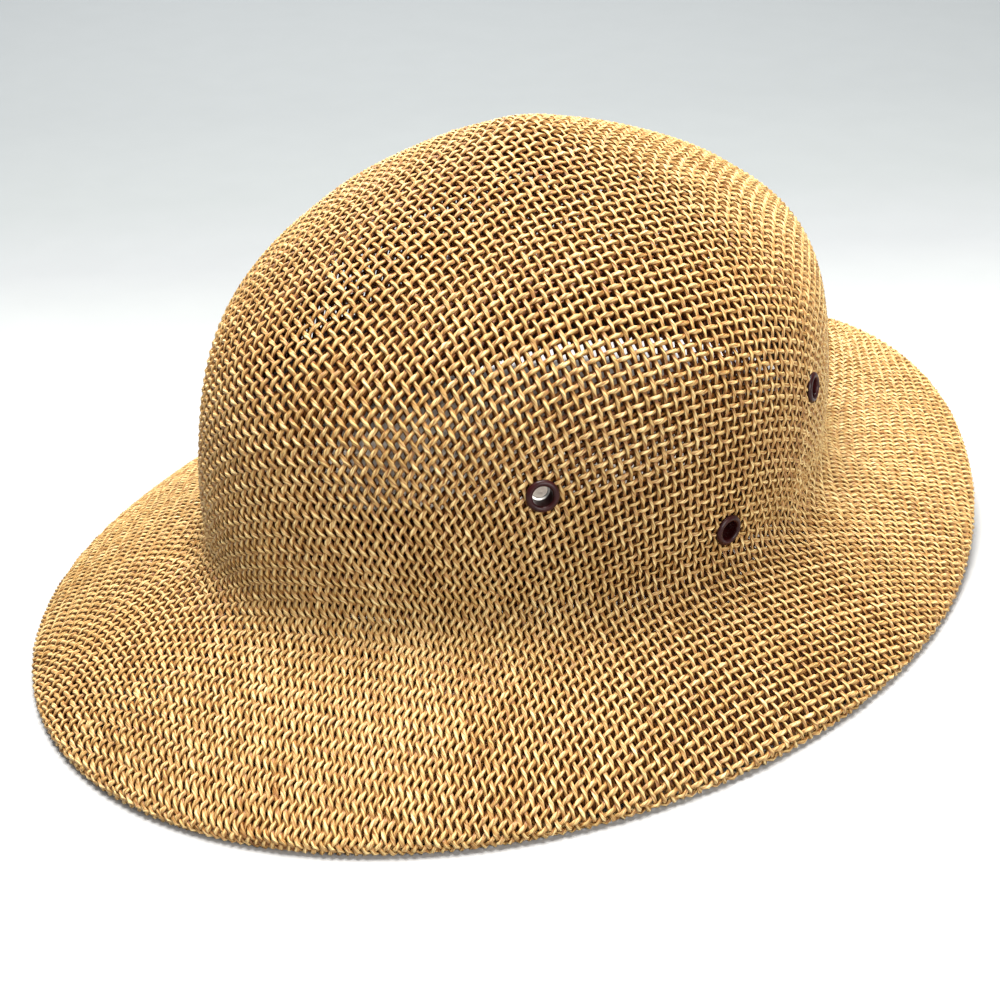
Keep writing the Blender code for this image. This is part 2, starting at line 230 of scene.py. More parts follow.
def eyelet_seat(name):
    """Seat point and outward axis of a packed eyelet, from how its points spread."""
    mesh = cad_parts[name].data
    points = np.empty(len(mesh.vertices) * 3)
    mesh.vertices.foreach_get("co", points)
    points = np.unique(points.reshape(-1, 3).round(7), axis=0)
    middle = (points.min(0) + points.max(0)) / 2
    spread, ways = np.linalg.eigh(np.cov((points - points.mean(0)).T))
    odd = 0 if spread[1] - spread[0] > spread[2] - spread[1] else 2
    axis = ways[:, odd]
    if axis[0] * middle[0] < 0:
        axis = -axis
    height = (points @ axis).max() - EYELET_TOP
    centre = points.mean(0)
    return centre + axis * (height - centre @ axis), axis


eyelet_seats = [eyelet_seat(name) for name in EYELET_NAMES]
BARREL_CLEAR, BARREL_REACH = 0.0037, 0.006

CORD_WIDTH, CORD_THICKNESS, CORD_RISE = 0.00140, 0.00102, 0.00047
CORD_TWIST_LENGTH = 0.0052
CORD_LINES, CORD_OVERRUN = 140, 0.006
# Shares of a cell by which the twist throws a cord sideways, and of its girth by which it
# swells one end
CORD_SWAY = {"endwise": 0.02, "sidewise": 0.07}
CORD_END_SWELL = {"endwise": 0.03, "sidewise": 0.06}
# Girth under a crossing, and how much more a float has on top
CORD_WAIST, CORD_BELLY = 0.85, 0.17
# How much girth and tone wander along a cord, and differ from cord to cord
GIRTH_WANDER, GIRTH_SPREAD = 0.10, 0.05
TONE_DRIFT, TONE_WANDER, TONE_SPREAD = 0.20, 0.16, 0.12
# Slubs: short stretches where the straw is thicker and paler
SLUB_COUNT, SLUB_CELLS, SLUB_GIRTH, SLUB_PALENESS = 130, (0.7, 1.6), (0.2, 0.5), 0.4
chance = np.random.default_rng(1907)


def smooth_noise(shape, reach):
    """Random rows, smoothed along each row with a bell of the given reach, from -1 to 1."""
    bell = np.exp(-np.linspace(-2.5, 2.5, 2 * reach + 1) ** 2)
    rows = chance.normal(size=shape)
    rows = np.apply_along_axis(lambda row: np.convolve(row, bell / bell.sum(), "same"), 1, rows)
    return np.clip(rows / (2.5 * rows.std()), -1, 1)


def weave_set(family, steps, depth, end_way, cloth_turn=0.0, cloth_scale=1.0, cloth_shift=(0, 0)):
    """Runs of one set of cords: centre line, normal and the values that vary along them.

    A cord is a line of constant count in the cloth. It rises and falls by a cosine of the
    other count, turned over at every second cord, and sways by the sine, as a twisted cord
    does. It stops at the cloth's edge and at the eyelets' barrels.
    """
    lines = np.arange(-CORD_LINES, CORD_LINES + 1)
    stations = np.arange(-CORD_LINES * steps, CORD_LINES * steps + 1) / steps
    line, station = np.meshgrid(lines, stations, indexing="ij")
    parity = np.where(line % 2 == 0, 1, -1) * (1 if family == "endwise" else -1)
    over, swing = np.cos(math.pi * station) * parity, np.sin(math.pi * station) * parity
    swayed = line - CORD_SWAY[family] * swing
    counts = np.stack([swayed, station] if family == "endwise" else [station, swayed], axis=-1)
    cos, sin = math.cos(cloth_turn), math.sin(cloth_turn)
    turned = counts @ np.array([[cos, sin], [-sin, cos]]) / cloth_scale + np.array(cloth_shift)
    # A first rough look drops what lies far outside the hat
    place, met = flat_places(turned)
    way = np.hypot(place[..., 0], place[..., 1])
    inside = met & (way < end_way + CORD_OVERRUN)
    u, v = place[..., 0], place[..., 1]
    centre = np.zeros(u.shape + (3,))
    normal = np.zeros_like(centre)
    centre[inside] = skin(u[inside], v[inside])
    normal[inside] = skin_normal(u[inside], v[inside])
    clear = np.where(inside, end_way - way, -1.0)
    for seat, axis in eyelet_seats:
        offset = centre - seat
        along = offset @ axis
        off_axis = np.linalg.norm(offset - along[..., None] * axis, axis=-1)
        beside = np.minimum(clear, off_axis - BARREL_CLEAR)
        clear = np.where(np.abs(along) < BARREL_REACH, beside, clear)
    girth = 1 + GIRTH_WANDER * smooth_noise(line.shape, 5 * steps)
    girth = girth * (1 + GIRTH_SPREAD * chance.normal(size=len(lines)))[:, None]
    tone = 0.5 + TONE_DRIFT * smooth_noise(line.shape, 9 * steps)
    tone = tone + TONE_WANDER * smooth_noise(line.shape, steps)
    tone = tone + TONE_SPREAD * chance.normal(size=len(lines))[:, None]
    slub = np.zeros(line.shape)
    for _ in range(SLUB_COUNT):
        row, middle = chance.integers(len(lines)), chance.integers(len(stations))
        reach = chance.uniform(*SLUB_CELLS) * steps
        slub[row] += chance.uniform(*SLUB_GIRTH) * np.exp(
            -((np.arange(len(stations)) - middle) / reach) ** 2
        )
    shape = CORD_WAIST + CORD_BELLY * np.abs(over) - CORD_END_SWELL[family] * swing
    girth = (girth + slub) * shape
    tone = np.clip(tone + SLUB_PALENESS * slub, 0, 1)
    centre = centre - normal * depth + normal * (over * CORD_RISE)[..., None]
    runs = []
    for row in range(len(lines)):
        open_here = clear[row] > 0
        starts = np.flatnonzero(open_here & ~np.roll(open_here, 1))
        stops = np.flatnonzero(open_here & ~np.roll(open_here, -1))
        for start, stop in zip(starts, stops):
            if stop - start < 2:
                continue
            take = np.arange(start - 1, stop + 2)
            run = {
                "centre": centre[row, take].copy(),
                "normal": normal[row, take].copy(),
                "girth": girth[row, take],
                "tone": tone[row, take],
                "over": over[row, take],
                "way": way[row, take],
            }
            # End points slide back along the cord to the edge or barrel
            for end, inner in ((0, 1), (-1, -2)):
                out, within = clear[row, take[end]], clear[row, take[inner]]
                t = within / (within - out) if inside[row, take[end]] else 0.3
                for key in ("centre", "normal"):
                    a, b = run[key][inner], run[key][end]
                    run[key][end] = a + (b - a) * t if inside[row, take[end]] else (
                        a + (a - run[key][2 * inner - end]) * t if key == "centre" else a
                    )
            runs.append(run)
    return runs


HEM_SHOWING = 0.001


def thin_hem(run, steps):
    """Drop the half-way rings of a cord where it lies hidden in the hem."""
    keep = np.ones(len(run["way"]), bool)
    if steps > 1:
        hidden = run["way"][1:-1] > TURN_WAY + HEM_SHOWING
        half_way = np.arange(1, len(keep) - 1) % 2 == 0
        keep[1:-1] = ~(hidden & half_way)
    return {key: value[keep] for key, value in run.items()}


# Painted shade in the weave: its level, less what facing outward and lying on a float take off
FACE_PROUD, FLOAT_PROUD, WEAVE_SHADE_LEVEL = 0.25, 0.28, 0.42


def cord_mesh(name, runs, sides, width, thickness):
    """Tube round each run: an oval in the plane across the cord, closed at both ends."""
    around = 2 * math.pi * np.arange(sides) / sides
    points, corners, sizes, uvs, tones, weave_shades = [], [], [], [], [], []
    base = 0
    for run in runs:
        centre, normal = run["centre"], run["normal"]
        along = np.gradient(centre, axis=0)
        along /= np.linalg.norm(along, axis=-1, keepdims=True)
        side = np.cross(normal, along)
        side /= np.linalg.norm(side, axis=-1, keepdims=True)
        up = np.cross(along, side)
        half = (run["girth"] / 2)[:, None, None]
        ring = centre[:, None] + half * (
            side[:, None] * np.cos(around)[:, None] * width
            + up[:, None] * np.sin(around)[:, None] * thickness
        )
        count = len(centre)
        length = np.concatenate([
            [0.0], np.cumsum(np.linalg.norm(np.diff(centre, axis=0), axis=-1))
        ]) / CORD_TWIST_LENGTH + chance.uniform(0, 7)
        first = base + np.arange(count - 1)[:, None] * sides
        this, after = np.arange(sides), (np.arange(sides) + 1) % sides
        quads = np.stack([
            first + this, first + after, first + sides + after, first + sides + this,
        ], -1)
        corners += [quads.ravel(), base + this[::-1], base + (count - 1) * sides + this]
        sizes += [np.full((count - 1) * sides, 4), [sides, sides]]
        low, high = length[:-1, None] + 0 * this, length[1:, None] + 0 * this
        left, right = this / sides + 0 * low, (this + 1) / sides + 0 * low
        uv = np.stack([low, left, low, right, high, right, high, left], -1).reshape(-1, 2)
        uvs += [uv, np.tile([length[0], 0.0], (sides, 1)), np.tile([length[-1], 0.0], (sides, 1))]
        points.append(ring.reshape(-1, 3))
        tones.append(np.repeat(run["tone"], sides))
        # Painted shade, by how deep in the weave: least on top of a float, most under a crossing
        facing = np.sin(around) + 0 * run["over"][:, None]
        outer_side = np.where(facing > -0.01, 1, -1)
        proud = FACE_PROUD * np.abs(facing) + FLOAT_PROUD * outer_side * run["over"][:, None]
        weave_shades.append(np.clip(WEAVE_SHADE_LEVEL - proud, 0, 1).ravel())
        base += count * sides
    points, corners, sizes = np.concatenate(points), np.concatenate(corners), np.concatenate(sizes)
    mesh = bpy.data.meshes.new(name)
    mesh.vertices.add(len(points))
    mesh.vertices.foreach_set("co", points.astype(np.float32).ravel())
    mesh.loops.add(len(corners))
    mesh.loops.foreach_set("vertex_index", corners.astype(np.int32))
    mesh.polygons.add(len(sizes))
    starts = np.concatenate([[0], np.cumsum(sizes)[:-1]])
    mesh.polygons.foreach_set("loop_start", starts.astype(np.int32))
    mesh.polygons.foreach_set("loop_total", sizes.astype(np.int32))
    mesh.update(calc_edges=True)
    layer = mesh.uv_layers.new(name="cord")
    layer.data.foreach_set("uv", np.concatenate(uvs).astype(np.float32).ravel())
    for label, values in (("tone", tones), ("weave_shade", weave_shades)):
        attribute = mesh.attributes.new(label, "FLOAT", "POINT")
        attribute.data.foreach_set("value", np.concatenate(values).astype(np.float32))
    mesh.shade_smooth()
    mesh.validate()
    piece = bpy.data.objects.new(name, mesh)
    bpy.context.scene.collection.objects.link(piece)
    return piece


def node(tree, kind, **values):
    """New shader node with the given settings and unlinked input values."""
    made = tree.nodes.new(kind)
    for key, value in values.items():
        if key in made.bl_rna.properties:
            setattr(made, key, value)
        else:
            made.inputs[key.replace("_", " ")].default_value = value
    return made


def ramp(tree, source, stops):
    """Colour ramp through the given (place, colour) stops, fed by a value socket."""
    made = tree.nodes.new("ShaderNodeValToRGB")
    elements = made.color_ramp.elements
    while len(elements) < len(stops):
        elements.new(0.5)
    for element, (place, colour) in zip(elements, stops):
        element.position, element.color = place, (*colour, 1.0)
    tree.links.new(source, made.inputs["Fac"])
    return made.outputs["Color"]


def blend(tree, kind, factor, first, second):
    """Mix of two colours, each a socket or a colour, by a factor socket or value."""
    made = tree.nodes.new("ShaderNodeMix")
    made.data_type, made.blend_type = "RGBA", kind
    sockets = made.inputs[0], made.inputs[6], made.inputs[7]
    for socket, value in zip(sockets, (factor, first, second)):
        if isinstance(value, bpy.types.NodeSocket):
            tree.links.new(value, socket)
        else:
            socket.default_value = value if isinstance(value, float) else (*value, 1.0)
    return made.outputs[2]


def straw_group():
    """Straw cord: two strands twisted together, fine fibres along them, batches of straw, and
    painted shade.
    """
    group = bpy.data.node_groups.new("straw_cord", "ShaderNodeTree")
    for name, kind in (("Tint", "NodeSocketColor"), ("Tint Share", "NodeSocketFloat")):
        group.interface.new_socket(name, in_out="INPUT", socket_type=kind)
    for name, kind in (
        ("Color", "NodeSocketColor"),
        ("Roughness", "NodeSocketFloat"),
        ("Height", "NodeSocketFloat"),
    ):
        group.interface.new_socket(name, in_out="OUTPUT", socket_type=kind)
    given = group.nodes.new("NodeGroupInput")
    result = group.nodes.new("NodeGroupOutput")
    link = group.links.new
    uv = node(group, "ShaderNodeUVMap", uv_map="cord")
    split = node(group, "ShaderNodeSeparateXYZ")
    link(uv.outputs["UV"], split.inputs["Vector"])
    # Two strands: the ridge turns round the cord once for each twist length
    phase = node(group, "ShaderNodeMath", operation="MULTIPLY_ADD")
    link(split.outputs["Y"], phase.inputs[0])
    phase.inputs[1].default_value = 2.0
    link(split.outputs["X"], phase.inputs[2])
    turn = node(group, "ShaderNodeMath", operation="MULTIPLY")
    link(phase.outputs[0], turn.inputs[0])
    turn.inputs[1].default_value = 2 * math.pi
    ridge = node(group, "ShaderNodeMath", operation="SINE")
    link(turn.outputs[0], ridge.inputs[0])
    # Fibres: noise drawn out along the strands
    shift = node(group, "ShaderNodeCombineXYZ")
    slow = node(group, "ShaderNodeMath", operation="MULTIPLY")
    link(split.outputs["X"], slow.inputs[0])
    slow.inputs[1].default_value = 1.6
    fine = node(group, "ShaderNodeMath", operation="MULTIPLY")
    link(phase.outputs[0], fine.inputs[0])
    fine.inputs[1].default_value = 5.0
    link(slow.outputs[0], shift.inputs["X"])
    link(fine.outputs[0], shift.inputs["Y"])
    fibre = node(group, "ShaderNodeTexNoise", noise_dimensions="2D", Scale=1.0, Detail=3.0)
    link(shift.outputs["Vector"], fibre.inputs["Vector"])
    # Batches: some cords are paler or browner along their length
    batch = node(group, "ShaderNodeAttribute", attribute_name="tone")
    straw = ramp(group, batch.outputs["Fac"], (
        (0.0, (0.37, 0.215, 0.070)),
        (0.30, (0.51, 0.360, 0.140)),
        (0.62, (0.635, 0.485, 0.225)),
        (1.0, (0.72, 0.595, 0.305)),
    ))
    place = node(group, "ShaderNodeTexCoord")
    patch = node(group, "ShaderNodeTexNoise", Scale=11.0, Detail=4.0)
    link(place.outputs["Object"], patch.inputs["Vector"])
    aged = ramp(group, patch.outputs["Fac"], ((0.35, (1.0, 0.93, 0.86)), (0.65, (1.0, 1.0, 1.0))))
    straw = blend(group, "MULTIPLY", 0.8, straw, aged)
    streak = ramp(group, fibre.outputs["Fac"], (
        (0.36, (0.42, 0.26, 0.13)), (0.54, (1.0, 1.0, 1.0)),
    ))
    straw = blend(group, "MULTIPLY", 0.9, straw, streak)
    # Painted shade: the groove between the two strands is darkened in colour, as well as bumped
    groove = node(group, "ShaderNodeMapRange", From_Min=-1.0, From_Max=1.0)
    link(ridge.outputs[0], groove.inputs["Value"])
    strand = ramp(group, groove.outputs["Result"], (
        (0.0, (0.56, 0.37, 0.22)), (0.36, (1.0, 1.0, 1.0)),
    ))
    straw = blend(group, "MULTIPLY", 0.8, straw, strand)
    # Painted shade in the crevices: sides and undersides, which lie in the weave's shade, are
    # darkened and reddened
    weave_shade = node(group, "ShaderNodeAttribute", attribute_name="weave_shade")
    crevice_shade = ramp(group, weave_shade.outputs["Fac"], (
        (0.10, (1.0, 1.0, 1.0)),
        (0.30, (0.70, 0.54, 0.38)),
        (0.52, (0.32, 0.15, 0.06)),
        (1.0, (0.12, 0.036, 0.010)),
    ))
    straw = blend(group, "MULTIPLY", 1.0, straw, crevice_shade)
    straw = blend(group, "MULTIPLY", given.outputs["Tint Share"], straw, given.outputs["Tint"])
    link(straw, result.inputs["Color"])
    rough = node(group, "ShaderNodeMapRange", To_Min=0.34, To_Max=0.62)
    link(fibre.outputs["Fac"], rough.inputs["Value"])
    link(rough.outputs["Result"], result.inputs["Roughness"])
    height = node(group, "ShaderNodeMath", operation="MULTIPLY_ADD")
    link(fibre.outputs["Fac"], height.inputs[0])
    height.inputs[1].default_value = 0.9
    link(ridge.outputs[0], height.inputs[2])
    link(height.outputs[0], result.inputs["Height"])
    return group


STRAW_CORD = straw_group()


def straw_material(name, tint, share, bump_depth):
    """Straw with the cord group's colour, tinted, and its twist as a fine bump."""
    material = bpy.data.materials.new(name)
    material.use_nodes = True
    tree = material.node_tree
    shader = tree.nodes["Principled BSDF"]
    cord = tree.nodes.new("ShaderNodeGroup")
    cord.node_tree = STRAW_CORD
    cord.inputs["Tint"].default_value = (*tint, 1.0)
    cord.inputs["Tint Share"].default_value = share
    bump = node(tree, "ShaderNodeBump", Distance=bump_depth, Strength=1.0)
    tree.links.new(cord.outputs["Height"], bump.inputs["Height"])
    tree.links.new(cord.outputs["Color"], shader.inputs["Base Color"])
    tree.links.new(cord.outputs["Roughness"], shader.inputs["Roughness"])
    tree.links.new(bump.outputs["Normal"], shader.inputs["Normal"])
    shader.inputs["Specular IOR Level"].default_value = 0.3
    return material


outer_straw = straw_material("outer_straw", (1.0, 1.0, 1.0), 1.0, 0.00014)

for family in ("endwise", "sidewise"):
    runs = weave_set(family, 2, PLY_THICKNESS / 2, HEM_WAY)
    runs = [thin_hem(run, 2) for run in runs]
    half = len(runs) // 2
    for part, group in (("first", runs[:half]), ("second", runs[half:])):
        piece = cord_mesh(f"outer_{family}_cords_{part}", group, 5, CORD_WIDTH, CORD_THICKNESS)
        piece.data.materials.append(outer_straw)
        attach(piece, "root")
        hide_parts("outer_mesh")


# Inner straw ply. A second blocked layer of the same cloth lies inside the first, cut off
# just short of the rim, and the outer ply's hem holds its edge.

# Painted shade: the tint darkens and reddens the inner ply's straw for the shade it lies in behind
# the outer ply
inner_straw = straw_material("inner_straw", (0.56, 0.33, 0.14), 1.0, 0.00010)
INNER_CORD_WIDTH, INNER_CORD_THICKNESS = 0.00138, 0.00085

for family in ("endwise", "sidewise"):
    runs = weave_set(
        family, 1, PLY_THICKNESS * 1.5 + PLY_GAP, BRIM_WAY - 0.0012,
        cloth_turn=math.radians(-0.22), cloth_scale=np.array((0.991, 1.025)),
        cloth_shift=(0.833, 0.545),
    )
    piece = cord_mesh(f"inner_{family}_cords", runs, 4, INNER_CORD_WIDTH, INNER_CORD_THICKNESS)
    piece.data.materials.append(inner_straw)
    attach(piece, "root")
    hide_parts("inner_mesh")


# Sweatband. A dark cloth band is sewn round the inside of the crown's foot and leans inwards,
# so that it bears on the head while air passes behind it.

BAND_FOOT_HEIGHT, BAND_KNEE_HEIGHT, BAND_HEIGHT = 0.0022, 0.0065, 0.030
BAND_THICKNESS, BAND_TOP_INSET, BAND_TOP_ROUNDING = 0.0012, 0.0085, 0.012
EYELET_WASHER_GAP, EYELET_WASHER_THICKNESS, SEAT_GAP = 0.00045, 0.0005, 0.0003


def section_angle(height):
    """Angle up the crown's section of a height above its foot."""
    heights = CROWN_HEIGHT * crown_reach(rising) * np.sin(np.radians(rising))
    return np.interp(height, heights, rising)


def loft_mesh(name, grid, closed_rows=False):
    """Closed skin over a grid of rings: quads between rings, and between the last and first."""
    rows, columns, _ = grid.shape
    bands = np.arange(rows if closed_rows else rows - 1)
    row, column = np.meshgrid(bands, np.arange(columns), indexing="ij")
    after, below = (column + 1) % columns, (row + 1) % rows
    faces = np.stack([
        row * columns + column, below * columns + column,
        below * columns + after, row * columns + after,
    ], -1).reshape(-1, 4)
    mesh = bpy.data.meshes.new(name)
    mesh.from_pydata(grid.reshape(-1, 3).tolist(), [], faces.tolist())
    mesh.shade_smooth()
    piece = bpy.data.objects.new(name, mesh)
    bpy.context.scene.collection.objects.link(piece)
    return piece


def band_point(turn, rise, inset):
    """Band's point: a share of its height, set in from the crown's skin by its own lean."""
    seat = 2 * PLY_THICKNESS + PLY_GAP + SEAT_GAP
    knee = seat + EYELET_WASHER_GAP + EYELET_WASHER_THICKNESS + SEAT_GAP
    height = BAND_FOOT_HEIGHT + (BAND_HEIGHT - BAND_FOOT_HEIGHT) * rise
    heights = (BAND_FOOT_HEIGHT, BAND_KNEE_HEIGHT, BAND_HEIGHT)
    lean = np.interp(height, heights, (seat, knee, seat + BAND_TOP_INSET))
    skin_at = crown_point(turn, section_angle(height))
    outward = (skin_at - np.array([0.0, CROWN_SHIFT_BACK, 0.0])) * np.array([1.0, 1.0, 0.0])
    outward = outward / np.linalg.norm(outward, axis=-1, keepdims=True)
    return skin_at - outward * (lean + inset)[..., None]


def band_section(rows=13):
    """Closed section of the band: up its outer face, over a rounded top and down inside."""
    rise = np.linspace(0, 1, rows)
    top = np.linspace(0, math.pi, 7)[1:-1]
    rises = np.concatenate([rise, 1 + BAND_TOP_ROUNDING * np.sin(top), rise[::-1]])
    insets = np.concatenate([
        0 * rise, BAND_THICKNESS / 2 * (1 - np.cos(top)), BAND_THICKNESS + 0 * rise,
    ])
    return rises, insets


BAND_SIDES = 192
turns = np.linspace(0, 2 * math.pi, BAND_SIDES + 1)[:-1]
rises, insets = band_section()
rise_grid, turn_grid = np.meshgrid(rises, turns, indexing="ij")
inset_grid = np.repeat(insets[:, None], len(turns), axis=1)
grid = band_point(turn_grid, rise_grid, inset_grid)
band = loft_mesh("sweatband_cloth", grid[::-1], closed_rows=True)


BAND_RIB_SPACING = 0.0009


def band_material():
    """Dark ribbed cloth: fine ribs round the band, a fine grain and a little wear."""
    material = bpy.data.materials.new("sweatband_cloth")
    material.use_nodes = True
    tree = material.node_tree
    shader = tree.nodes["Principled BSDF"]
    place = node(tree, "ShaderNodeTexCoord")
    split = node(tree, "ShaderNodeSeparateXYZ")
    tree.links.new(place.outputs["Object"], split.inputs["Vector"])
    rib = node(tree, "ShaderNodeMath", operation="MULTIPLY")
    tree.links.new(split.outputs["Z"], rib.inputs[0])
    rib.inputs[1].default_value = 2 * math.pi / BAND_RIB_SPACING
    wave = node(tree, "ShaderNodeMath", operation="SINE")
    tree.links.new(rib.outputs[0], wave.inputs[0])
    grain = node(tree, "ShaderNodeTexNoise", Scale=900.0, Detail=2.0)
    tree.links.new(place.outputs["Object"], grain.inputs["Vector"])
    worn = node(tree, "ShaderNodeTexNoise", Scale=24.0, Detail=4.0)
    tree.links.new(place.outputs["Object"], worn.inputs["Vector"])
    colour = ramp(tree, worn.outputs["Fac"], (
        (0.3, (0.013, 0.005, 0.004)), (0.7, (0.027, 0.010, 0.008)),
    ))
    tree.links.new(colour, shader.inputs["Base Color"])
    rough = node(tree, "ShaderNodeMapRange", To_Min=0.55, To_Max=0.85)
    tree.links.new(grain.outputs["Fac"], rough.inputs["Value"])
    tree.links.new(rough.outputs["Result"], shader.inputs["Roughness"])
    height = node(tree, "ShaderNodeMath", operation="MULTIPLY_ADD")
    tree.links.new(grain.outputs["Fac"], height.inputs[0])
    height.inputs[1].default_value = 0.8
    tree.links.new(wave.outputs[0], height.inputs[2])
    bump = node(tree, "ShaderNodeBump", Distance=0.00008, Strength=0.8)
    tree.links.new(height.outputs[0], bump.inputs["Height"])
    tree.links.new(bump.outputs["Normal"], shader.inputs["Normal"])
    return material


band.data.materials.append(band_material())
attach(band, "root")
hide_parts("sweatband")


# Eyelets. Six turned metal vent eyelets, three on each side, are set through both plies: a
# rolled flange outside, a barrel and a washer inside, all stove-enamelled dark oxblood but
# for the bare metal lip that is rolled over the washer.

BORE_RADIUS, FLANGE_RADIUS, WASHER_RADIUS = 0.0028, 0.0046, 0.0044
BARREL_WALL, FLANGE_HEIGHT = 0.0004, 0.0012
EYELET_SECTION = (
    # outward share of the flange's width, height share of the flange's height
    (0.00, 0.20), (0.03, 0.55), (0.12, 0.80), (0.28, 0.96), (0.46, 1.00), (0.64, 0.94),
    (0.80, 0.80), (0.93, 0.58), (1.00, 0.32), (0.99, 0.10), (0.93, 0.00),
)
LIP_RADIUS, LIP_THICKNESS, LIP_STEP = 0.0022, 0.0004, 0.0001
WASHER_TOP_IN, WASHER_ROUNDING, WASHER_FOOT_IN = 0.0001, 0.00012, 0.00015


def eyelet_profile():
    """Closed outline of the turned section, and which of its sides are the bare rolled lip.

    It goes from the bore over the flange and down to the washer, whose lip narrows the bore.
    """
    width = FLANGE_RADIUS - BORE_RADIUS
    low = -(2 * PLY_THICKNESS + PLY_GAP) - EYELET_WASHER_GAP
    bottom = low - EYELET_WASHER_THICKNESS
    outline = [(BORE_RADIUS + a * width, SEAT_GAP + b * FLANGE_HEIGHT) for a, b in EYELET_SECTION]
    barrel = BORE_RADIUS + BARREL_WALL
    outline += [
        (barrel, SEAT_GAP), (barrel, low), (WASHER_RADIUS - WASHER_TOP_IN, low),
        (WASHER_RADIUS, low - WASHER_ROUNDING), (WASHER_RADIUS, bottom + WASHER_ROUNDING),
        (WASHER_RADIUS - WASHER_FOOT_IN, bottom), (BORE_RADIUS, bottom),
    ]
    bare_from = len(outline) - 1
    roll = np.linspace(-math.pi / 2, -1.5 * math.pi, 7)
    round_by = LIP_THICKNESS / 2
    middle = bottom + round_by
    outline += [
        (LIP_RADIUS + round_by * (1 + math.cos(a)), middle + round_by * math.sin(a)) for a in roll
    ]
    outline.append((BORE_RADIUS, bottom + LIP_THICKNESS + LIP_STEP))
    bare = np.arange(len(outline)) >= bare_from
    bare[-1] = False
    return np.array(outline), bare


def enamel_material():
    """Glossy dark oxblood enamel, a little thin and worn, with a clear top coat."""
    material = bpy.data.materials.new("oxblood_enamel")
    material.use_nodes = True
    tree = material.node_tree
    shader = tree.nodes["Principled BSDF"]
    place = node(tree, "ShaderNodeTexCoord")
    cloud = node(tree, "ShaderNodeTexNoise", Scale=260.0, Detail=4.0)
    tree.links.new(place.outputs["Object"], cloud.inputs["Vector"])
    colour = ramp(tree, cloud.outputs["Fac"], (
        (0.3, (0.012, 0.0010, 0.0010)), (0.7, (0.028, 0.0018, 0.0018)),
    ))
    tree.links.new(colour, shader.inputs["Base Color"])
    rough = node(tree, "ShaderNodeMapRange", To_Min=0.30, To_Max=0.50)
    tree.links.new(cloud.outputs["Fac"], rough.inputs["Value"])
    tree.links.new(rough.outputs["Result"], shader.inputs["Roughness"])
    peel = node(tree, "ShaderNodeTexNoise", Scale=1400.0, Detail=2.0)
    tree.links.new(place.outputs["Object"], peel.inputs["Vector"])
    bump = node(tree, "ShaderNodeBump", Distance=0.00002, Strength=0.6)
    tree.links.new(peel.outputs["Fac"], bump.inputs["Height"])
    tree.links.new(bump.outputs["Normal"], shader.inputs["Normal"])
    shader.inputs["Specular IOR Level"].default_value = 0.2
    shader.inputs["Coat Weight"].default_value = 0.08
    shader.inputs["Coat Roughness"].default_value = 0.12
    return material


def lip_material():
    """Bare rolled metal, dulled and mottled round the lip."""
    material = bpy.data.materials.new("bare_lip_metal")
    material.use_nodes = True
    tree = material.node_tree
    shader = tree.nodes["Principled BSDF"]
    place = node(tree, "ShaderNodeTexCoord")
    cloud = node(tree, "ShaderNodeTexNoise", Scale=700.0, Detail=4.0)
    tree.links.new(place.outputs["Object"], cloud.inputs["Vector"])
    colour = ramp(tree, cloud.outputs["Fac"], (
        (0.3, (0.34, 0.33, 0.31)), (0.7, (0.58, 0.57, 0.54)),
    ))
    tree.links.new(colour, shader.inputs["Base Color"])
    rough = node(tree, "ShaderNodeMapRange", To_Min=0.25, To_Max=0.5)
    tree.links.new(cloud.outputs["Fac"], rough.inputs["Value"])
    tree.links.new(rough.outputs["Result"], shader.inputs["Roughness"])
    shader.inputs["Metallic"].default_value = 1.0
    return material


EYELET_SIDES = 48
enamel, lip_metal = enamel_material(), lip_material()
profile, bare_sides = eyelet_profile()
for name, (seat, axis) in zip(EYELET_NAMES, eyelet_seats):
    across = np.cross(axis, SKY)
    across = across / np.linalg.norm(across)
    other = np.cross(axis, across)
    turns = np.linspace(0, 2 * math.pi, EYELET_SIDES + 1)[:-1]
    spoke = np.cos(turns)[:, None] * across + np.sin(turns)[:, None] * other
    grid = seat + profile[:, None, :1] * spoke + profile[:, None, 1:] * axis
    eyelet = loft_mesh(f"{name}_enamelled", grid, closed_rows=True)
    eyelet.data.set_sharp_from_angle(angle=math.radians(50))
    eyelet.data.materials.append(enamel)
    eyelet.data.materials.append(lip_metal)
    sides = np.repeat(bare_sides, len(turns)).astype(np.int32)
    eyelet.data.polygons.foreach_set("material_index", sides)
    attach(eyelet, "root")
    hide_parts(name)


# Stage. A pale floor with painted light, much paler and warmer under the hat, and painted grey
# shade behind it; one large soft light overhead, weaker ones in front and behind, and even
# daylight.

CAMERA_AZIMUTH, CAMERA_ELEVATION, CAMERA_DISTANCE = 47.3227, 25.8741, 0.53386
CAMERA_ROLL, CAMERA_YAW, CAMERA_PITCH = 2.3202, -0.7269, 3.7982
CAMERA_TARGET = (0.0, 0.0, 0.06)
CAMERA_LENS = 61.805
azimuth, elevation = math.radians(CAMERA_AZIMUTH), math.radians(CAMERA_ELEVATION)
BEHIND_HAT = (-math.sin(azimuth), math.cos(azimuth), 0.0)


UNDER_HAT_LIGHT_SHIFT = (0.16, -0.12, 0.0)


